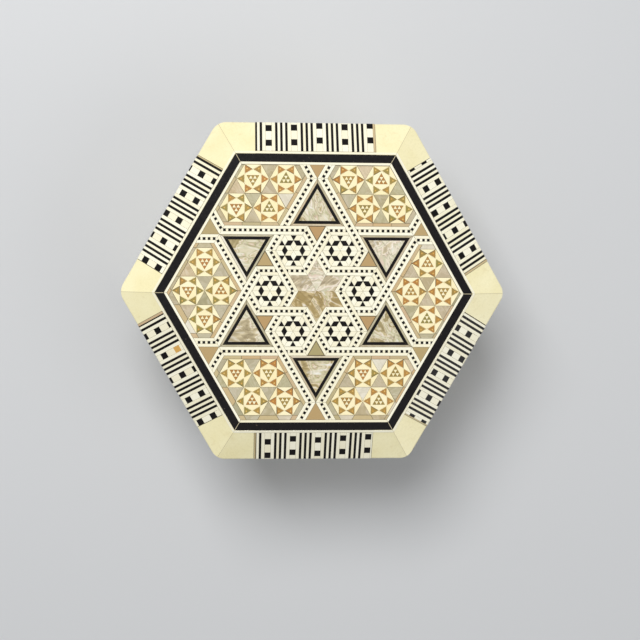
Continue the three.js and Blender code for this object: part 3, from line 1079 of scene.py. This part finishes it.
def plinth_bevel():
    """Striped slips between bone corners on the plinth's sloping top."""
    profile = plinth_profile()
    low, high = OUTER_LINE + PLINTH_MARGIN, profile.reaches[-1] - PLINTH_MARGIN
    panel = Panel("plinth_bevel", "box", seed=31)
    for k in range(6):
        panel.place = on_side(profile, k)
        bevel_strip(panel, profile, "bone", PLINTH_MARGIN, OUTER_LINE)
        starts = [panel.random.uniform(0, STRIPE_SQUARE_PITCH) for _ in range(STRIPE_COLUMNS)]
        phase = panel.random.uniform(-0.5, 0.5) * STRIPE_PERIOD
        stripes(panel, profile, low, high, phase, starts)
        for way in (-1, 1):
            panel.lay("corner", corner_slip(profile, way, low, high), grain=1 + 0j)
    panel.finished()


def corner_slip(profile, way, low, high):
    """One bone slip from the stripes' end to the mitre, rounded at the plinth's corner."""
    inner, outer = profile.at(low)[0].real, profile.at(high)[0].real
    plan = [complex(way * STRIPE_REACH, inner), complex(way * STRIPE_REACH, outer),
            complex(way * outer * TAN30, outer), complex(way * inner * TAN30, inner)]
    if way > 0:
        plan.reverse()
    plan = clip(plan, rounded_hexagon(outer, CORNER_ROUND))
    slope = (outer - inner) / (high - low)
    return [complex(p.real, low + (p.imag - inner) / slope) for p in plan]


class Course:
    """A closed course round a rounded hexagon, measured along its edge in millimetres."""

    def __init__(self, apothem):
        outline = rounded_hexagon(apothem, CORNER_ROUND, CORNER_STEPS)
        self.points = outline + outline[:1]
        self.reaches = [0.0]
        for p, q in zip(self.points, self.points[1:]):
            self.reaches.append(self.reaches[-1] + abs(q - p))
        self.length = self.reaches[-1]

    def place(self, u, v, w):
        u %= self.length
        k = max(i for i, reach in enumerate(self.reaches[:-1]) if reach <= u)
        p, q = self.points[k], self.points[k + 1]
        way = (q - p) / abs(q - p)
        at = p + way * (u - self.reaches[k]) + way / 1j * w
        return at.real * MM, at.imag * MM, v * MM

    def bend_place(self, u, v, w):
        """As place, for a bend's own u, with the normal shared between its neighbours."""
        k = self.reaches.index(u)
        before, here, after = self.points[k - 1 if k else -2], self.points[k], self.points[k + 1]
        out = ((here - before) / abs(here - before) + (after - here) / abs(after - here)) / 1j
        at = here + out / abs(out) * w
        return at.real * MM, at.imag * MM, v * MM


def edge_band(name, body, apothem, bottom, top, seed):
    """Bone, ebony, a row of squares, ebony and bone, running round an upright edge."""
    course = Course(apothem)
    panel = Panel(name, body, seed)
    bone_strip, line = (top - bottom) * BAND_BONE, (top - bottom) * BAND_LINE
    row = bottom + bone_strip + line
    squares = top - line - bone_strip - row
    panel.place = course.bend_place
    for finish, width, low in (("bone", bone_strip, bottom), ("ebony", line, bottom + bone_strip),
                               ("ebony", line, row + squares), ("bone", bone_strip, top - bone_strip)):
        middle = low + width / 2
        stations = [lambda side, u=u: (u, middle + side) for u in course.reaches[:-1]]
        panel.sweep(finish, width - FINE_LINE, 0.0, stations, closed=True)
    panel.place = course.place
    count = round(course.length / (squares * 2))
    pitch = course.length / count
    for i in range(count):
        for finish, start in (("ebony", i * pitch), ("bone", (i + 0.5) * pitch)):
            square = rectangle(complex(start, row), complex(start + pitch / 2, row + squares))
            panel.lay(finish, square, gap=FINE_LINE)
    panel.finished()


# ---- Side panels ----


def side_panels():
    """Each side: bone and ebony frames round a dotted strap and a field of walnut stars."""
    low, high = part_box("side_panel_front")
    bottom, top = mm(low.z) + PANEL_FOOT, mm(high.z) - PANEL_HEAD
    half = mm(high.x) - EDGE_ROOM
    for k, side in enumerate(SIDES):
        panel = Panel(f"side_{side}", "box", seed=50 + k)
        panel.place = upright(mm(-low.y), k)
        outer = rectangle(complex(-half, bottom), complex(half, top))
        for finish, width in PANEL_FRAME:
            inner = shrink(outer, width)
            for i in range(4):
                j = (i + 1) % 4
                panel.lay(finish, [outer[i], outer[j], inner[j], inner[i]], gap=NARROW_LINE)
            outer = inner
        loop = shrink(outer, STRAP / 2)
        start = (loop[0] + loop[1]) / 2
        strap(panel, [start, loop[1], loop[2], loop[3], loop[0], start], {}, outer)
        field = shrink(outer, STRAP)
        star_field(panel, field, (field[0] + field[2]) / 2, lambda p: True)
        panel.finished()


def upright(face, k):
    """Puts (u, v, w) on an upright side: u to the right as seen from outside, v up."""
    turn = cmath.rect(1, k * SIXTH)

    def place(u, v, w):
        flat = complex(-u, face + w) * turn
        return flat.real * MM, flat.imag * MM, v * MM
    return place


# ---- Velvet ----

SIM_SCALE = 10.0  # the pads are swollen at ten times their size, where cloth behaves better
SIM_FRAMES = 20
PAD_RINGS = 30  # rings of triangles in a pad's cover
PAD_SEAM = 0.35  # height of a pad's edge, as a share of its thickness
PAD_SHOULDER = (0.3, 10)  # share of its thickness that the face gains near the edge, and how squarely
PAD_DOME = (0.2, 2)  # the same for the rest of the face
PAD_TUCK = 12  # how squarely the back turns up to the seam
PAD_PRESSURE = 4.0
PAD_SHRINK = -0.035  # cloth cut larger than the pad, so that it puckers
PAD_STRETCH, PAD_BEND = 12.0, 0.4  # how stiff the velvet is
SWELL_LIMIT = 0.9  # how far the simulation may move a point, in millimetres
FLOOR_CORD = (0.35, 1.75)  # how far a cord's middle lies inside its pad's edge and above its bottom
LID_CORD = (0.25, 0.9)
CORD_RADIUS = 0.55
CORD_TWIST = 0.16  # depth of the grooves between its strands, as a share of its radius
CORD_SIDES = 12
CORD_STRANDS = 2
CORD_PITCH = 1.5  # distance between one strand and the next along the cord
CORD_STEP = 0.35


def lattice(rings):
    """The places of a hexagon's triangular lattice, by their two whole-number steps."""
    span = range(-rings, rings + 1)
    return [(i, j) for i in span for j in span if abs(i + j) <= rings]


def pad_mesh(node, facing):
    """A closed pillow filling a hexagonal CAD pad, with a crowned face. The numbers of the
    points on its flat back, which is glued down, come third."""
    low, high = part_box(node)
    reach = high.x / PAD_RINGS
    back, face = (low.z, high.z) if facing > 0 else (high.z, low.z)
    places = lattice(PAD_RINGS)
    points, index, glued = [], {}, []
    for layer in (0, 1):
        for i, j in places:
            ring = max(abs(i), abs(j), abs(i + j)) / PAD_RINGS
            if ring == 1 and layer:
                index[layer, i, j] = index[0, i, j]
                continue
            at = reach * (i + j * cmath.rect(1, SIXTH))
            shoulder = PAD_SHOULDER[0] * math.sqrt(1 - ring ** PAD_SHOULDER[1])
            dome = PAD_DOME[0] * (1 - ring ** PAD_DOME[1])
            rise = PAD_SEAM + (shoulder + dome) if layer else PAD_SEAM * ring ** PAD_TUCK
            index[layer, i, j] = len(points)
            if layer == 0:
                glued.append(len(points))
            points.append((at.real, at.imag, back + (face - back) * rise))
    faces = []
    for layer in (0, 1):
        for i, j in places:
            for steps in (((0, 0), (1, 0), (0, 1)), ((1, 0), (1, -1), (0, 0))):
                corners = [(layer, i + di, j + dj) for di, dj in steps]
                if all(c in index for c in corners):
                    ids = [index[c] for c in corners]
                    up = steps[0] == (0, 0)
                    faces.append(ids if up == ((layer == 1) == (facing > 0)) else ids[::-1])
    return points, faces, glued


def swollen(name, points, faces, pinned):
    """The points after cloth simulation with pressure from inside."""
    mesh = new_mesh(name, [[c * SIM_SCALE for c in p] for p in points], faces)
    mesh.update()
    cover = linked(name, mesh)
    cover.vertex_groups.new(name="pinned").add(pinned, 1.0, "REPLACE")
    cloth = cover.modifiers.new("cloth", "CLOTH")
    cloth.settings.vertex_group_mass = "pinned"
    cloth.settings.use_pressure = True
    cloth.settings.uniform_pressure_force = PAD_PRESSURE
    cloth.settings.shrink_min = PAD_SHRINK
    cloth.settings.tension_stiffness = cloth.settings.compression_stiffness = PAD_STRETCH
    cloth.settings.bending_stiffness = PAD_BEND
    cloth.settings.effector_weights.gravity = 0.0
    cloth.collision_settings.use_collision = False
    cloth.collision_settings.use_self_collision = False
    scene = bpy.context.scene
    for number in range(1, SIM_FRAMES + 1):
        scene.frame_set(number)
    shaped = cover.evaluated_get(bpy.context.evaluated_depsgraph_get())
    moved = []
    for before, vertex in zip(points, shaped.data.vertices):
        move = Vector(vertex.co) / SIM_SCALE - Vector(before)
        if move.length > SWELL_LIMIT * MM:
            move *= SWELL_LIMIT * MM / move.length
        moved.append(tuple(Vector(before) + move))
    bpy.data.objects.remove(cover)
    scene.frame_set(1)
    return moved


def velvet_pad(name, node, body, facing):
    """A padded velvet hexagon in a CAD pad's place, its cover swollen and puckered by simulation."""
    points, faces, glued = pad_mesh(node, facing)
    points = swollen(name, points, faces, glued)
    piece = plain_piece(name, points, faces, body, VELVET)
    smooth = piece.modifiers.new("smooth", "SUBSURF")
    smooth.levels = smooth.render_levels = 1
    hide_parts(node)


def plain_piece(name, points, faces, body, finish, smooth=True):
    mesh = new_mesh(name, points, faces)
    mesh.polygons.foreach_set("use_smooth", [smooth] * len(faces))
    return new_piece(name, mesh, body, finish)


def piping(name, body, pad, inset, rise):
    """A twisted cord sewn round the edge of a pad."""
    low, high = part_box(pad)
    outline = rounded_hexagon(mm(high.y) - inset, 2 * CORD_RADIUS)
    height = mm(low.z) + rise
    points, faces = [], []
    travelled = 0.0
    rings = 0
    for p, q in sides(outline):
        steps = max(1, round(abs(q - p) / CORD_STEP))
        out = (q - p) / abs(q - p) / 1j
        for step in range(steps):
            middle = p + (q - p) * step / steps
            for i in range(CORD_SIDES):
                turn = 2 * math.pi * i / CORD_SIDES
                lay = math.cos(CORD_STRANDS * (turn - travelled / CORD_PITCH * 2 * math.pi / CORD_STRANDS))
                radius = CORD_RADIUS * (1 - CORD_TWIST + CORD_TWIST * lay)
                at = middle + out * radius * math.cos(turn)
                points.append((at.real * MM, at.imag * MM, (height + radius * math.sin(turn)) * MM))
            travelled += abs(q - p) / steps
            rings += 1
    for k in range(rings):
        faces += ring_faces((k + 1) % rings * CORD_SIDES, k * CORD_SIDES, CORD_SIDES)
    plain_piece(name, points, faces, body, CORD)


LINING_COLUMNS = 28
LINING_ROWS = 20
LINING_BACK = 0.25  # thickness of the card that the velvet is drawn over
LINING_PAD = 0.85  # thickness of the padding on it
SIDE_TUCK, TOP_TUCK = 10, 12  # how squarely a panel's sides and top are tucked in
PUCKER = 0.05  # how far the velvet rises and falls
ACROSS, DOWN = 9, 4  # how often it does, in radians from a panel's middle to its edge
FROM_SIDE_TO_SIDE = 5  # how much the puckers shift from one panel to the next


def wall_lining():
    """Six padded velvet panels round the inside of the walls, tucked in at the corners."""
    low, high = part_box("wall_lining")
    outer = mm(high.y)
    bottom, top = mm(low.z), mm(high.z)
    points, faces = [], []
    for k in range(6):
        turn = cmath.rect(1, k * SIXTH)
        first = len(points)
        for layer in (0, 1):
            for row in range(LINING_ROWS + 1):
                level = 2 * row / LINING_ROWS - 1
                for column in range(LINING_COLUMNS + 1):
                    share = 2 * column / LINING_COLUMNS - 1
                    tuck = (1 - abs(share) ** SIDE_TUCK) * (1 - max(level, 0) ** TOP_TUCK)
                    wave = math.sin(ACROSS * share + FROM_SIDE_TO_SIDE * k) * math.sin(DOWN * level + k)
                    swell = (LINING_PAD + PUCKER * wave) * math.sqrt(max(tuck, 0))
                    face = outer - (LINING_BACK + swell if layer else 0.0)
                    at = complex(share * (face * TAN30 - EDGE_ROOM), face) * turn
                    z = bottom + (level + 1) / 2 * (top - bottom)
                    points.append((at.real * MM, at.imag * MM, z * MM))
        faces += slab_faces(first, LINING_COLUMNS + 1, LINING_ROWS + 1)
    piece = plain_piece("wall_lining_velvet", points, faces, "box", VELVET)
    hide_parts("wall_lining")


def slab_faces(first, columns, rows):
    """The faces of a closed slab of two grids of points, one behind the other."""
    def at(layer, row, column):
        return first + (layer * rows + row) * columns + column

    faces = []
    for row in range(rows - 1):
        for column in range(columns - 1):
            square = [(row, column), (row, column + 1), (row + 1, column + 1), (row + 1, column)]
            faces.append([at(1, r, c) for r, c in square])
            faces.append([at(0, r, c) for r, c in square][::-1])
    rim = [(0, c) for c in range(columns)] + [(r, columns - 1) for r in range(1, rows)]
    rim += [(rows - 1, c) for c in range(columns - 2, -1, -1)] + [(r, 0) for r in range(rows - 2, 0, -1)]
    for here, there in zip(rim, rim[1:] + rim[:1]):
        faces.append([at(0, *here), at(0, *there), at(1, *there), at(1, *here)])
    return faces


FELT_FUZZ = 0.12  # how far the felt's edge wanders inward
FELT_STEPS = 40  # points along each side
FELT_SEED = 7
FELT_EDGE = ((0.25, 0.0), (0.0, 0.25), (0.0, 0.7), (0.2, 1.0))  # its rims' insets and shares of height


def felt_sheet():
    """The felt glued under the base, soft and uneven at its cut edge."""
    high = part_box("base_felt")[1]
    draw = random.Random(FELT_SEED)
    fuzz = [draw.uniform(-FELT_FUZZ, 0.0) for _ in range(6 * FELT_STEPS)]
    points, faces, rims = [], [], []
    for inset, share in FELT_EDGE:
        rims.append(len(points))
        corners = hexagon(mm(high.y) - inset)
        outline = [p + (q - p) * i / FELT_STEPS for p, q in sides(corners) for i in range(FELT_STEPS)]
        for p, shift in zip(outline, fuzz):
            p *= 1 + shift / abs(p)
            points.append((p.real * MM, p.imag * MM, high.z * share))
    count = len(fuzz)
    for here, there in zip(rims, rims[1:]):
        faces += ring_faces(here, there, count)
    faces.append([rims[0] + i for i in range(count)][::-1])
    faces.append([rims[-1] + i for i in range(count)])
    piece = plain_piece("base_felt_sheet", points, faces, "box", FELT, smooth=False)
    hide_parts("base_felt")


# ---- Stage ----

CAMERA_PLACE = (-0.0287, 0.0209)  # over the lid, in metres
CAMERA_RISE = 0.42  # above the rim
CAMERA_TURN = (-4.11, -4.17, 0.47)  # degrees away from straight down
LENS = 72.2  # focal length and sensor width in millimetres
SENSOR = 36.0
NEAREST = 0.01
FLOOR_REACH = 2.0
LIGHTS = {  # each light's place and width in metres, and its watts
    "key": ((-0.22, 0.42, 0.78), 0.45, 6.45),
    "fill": ((0.65, -0.35, 0.6), 0.7, 1.6),
}
LIT_PLACE = (0, 0, 0.03)  # what the lights point at
SKY_COLOUR = (0.95, 0.97, 1.0, 1)
SKY_STRENGTH = 0.34


def camera():
    """A camera nearly straight above the lid, with its top towards the back of the box."""
    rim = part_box("lid_stripe_back")[0].z
    made = bpy.data.cameras.new("camera")
    made.sensor_width = SENSOR
    made.lens = LENS
    made.clip_start = NEAREST
    holder = linked("camera", made)
    holder.location = (*CAMERA_PLACE, rim + CAMERA_RISE)
    holder.rotation_euler = [math.radians(angle) for angle in CAMERA_TURN]
    bpy.context.scene.camera = holder


def area_light(name, place, width, watts):
    light = bpy.data.lights.new(name, "AREA")
    light.size = width
    light.energy = watts
    holder = linked(name, light)
    holder.location = place
    aim = Vector(LIT_PLACE) - Vector(place)
    holder.rotation_euler = aim.to_track_quat("-Z", "Y").to_euler()


def studio():
    """A pale floor and soft light from above and behind."""
    outline = rectangle(complex(-FLOOR_REACH, -FLOOR_REACH), complex(FLOOR_REACH, FLOOR_REACH))
    floor = linked("floor", new_mesh("floor", [(p.real, p.imag, 0) for p in outline], [(0, 1, 2, 3)]))
    paper = Finish("floor_paper", "", Roughness=0.6)
    paper.feed("Base Color", shade((206, 207, 208)))
    floor.data.materials.append(paper.material)
    for name, (place, width, watts) in LIGHTS.items():
        area_light(name, place, width, watts)
    world = bpy.data.worlds.new("studio")
    world.use_nodes = True
    sky = world.node_tree.nodes["Background"]
    sky.inputs["Color"].default_value = SKY_COLOUR
    sky.inputs["Strength"].default_value = SKY_STRENGTH
    bpy.context.scene.world = world
    bpy.context.scene.view_settings.view_transform = "Standard"


# ---- CAD parts that are seen as they are ----

BED = glue_bed()
DARK_TIMBER = timber("dark_timber", "dark_wood", (70, 44, 28), (34, 20, 13), 0.5)
PALE_TIMBER = timber("pale_timber", "wood", (176, 128, 82), (124, 82, 46), 0.2)
VELVET = velvet()
CORD = cord()
FELT = felt()
CAD_FINISHES = {  # by the start of a node's name; the first that fits counts
    "lid_field": BED,
    "lid_stripe": BED,
    "side_panel": BED,
    "lid_corner": corner_bone(),
    "lid_band": band_ebony(),
    "hinge": brass(),
    "lid_rail": DARK_TIMBER,
    "base_rail": DARK_TIMBER,
    "wall_lining": VELVET,
    "floor_pad": VELVET,
    "lid_pad": VELVET,
    "base_felt": FELT,
    "wall_": PALE_TIMBER,
    "base_board": PALE_TIMBER,
    "lid_board": PALE_TIMBER,
}
WORN_PARTS = ("lid_rail", "base_rail", "wall_", "lid_corner", "hinge")
WORN_EDGE = 0.12  # round on their edges
WORN_BRASS = 0.05
SHARPEST_KEPT = math.radians(30)  # edges that bend less aren't worn


def finish_cad_parts():
    for name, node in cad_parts.items():
        finish = next(CAD_FINISHES[start] for start in CAD_FINISHES if name.startswith(start))
        for slot in node.material_slots:
            slot.material = finish.material
        if name.startswith(WORN_PARTS):
            worn = node.modifiers.new("worn_edges", "BEVEL")
            worn.width = (WORN_BRASS if name.startswith("hinge") else WORN_EDGE) * MM
            worn.segments = 2
            worn.limit_method = "ANGLE"
            worn.angle_limit = SHARPEST_KEPT


# ---- The box ----

LID_BAND_FOOT, LID_BAND_HEAD = 0.05, 0.1  # timber left bare below and above the bands
PLINTH_BAND_FOOT, PLINTH_BAND_HEAD = 0.1, 0.15


def edge_bands():
    """The bands of squares round the lid's and the plinth's upright edges."""
    low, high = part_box("lid_rail_back")
    top = mm(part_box("lid_stripe_back")[0].z) - LID_BAND_HEAD
    edge_band("lid_edge", "lid", mm(high.y), mm(low.z) + LID_BAND_FOOT, top, seed=41)
    low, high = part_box("base_rail_back")
    top = mm(low.z) + PLINTH_EDGE - PLINTH_BAND_HEAD
    edge_band("plinth_edge", "box", mm(high.y), mm(low.z) + PLINTH_BAND_FOOT, top, seed=43)


camera()
studio()
finish_cad_parts()
lid_field()
lid_rim()
edge_bands()
plinth_bevel()
side_panels()
velvet_pad("floor_cushion", "floor_pad", "box", 1)
velvet_pad("lid_cushion", "lid_pad", "lid", -1)
wall_lining()
piping("floor_piping", "box", "floor_pad", *FLOOR_CORD)
piping("lid_piping", "lid", "lid_pad", *LID_CORD)
felt_sheet()
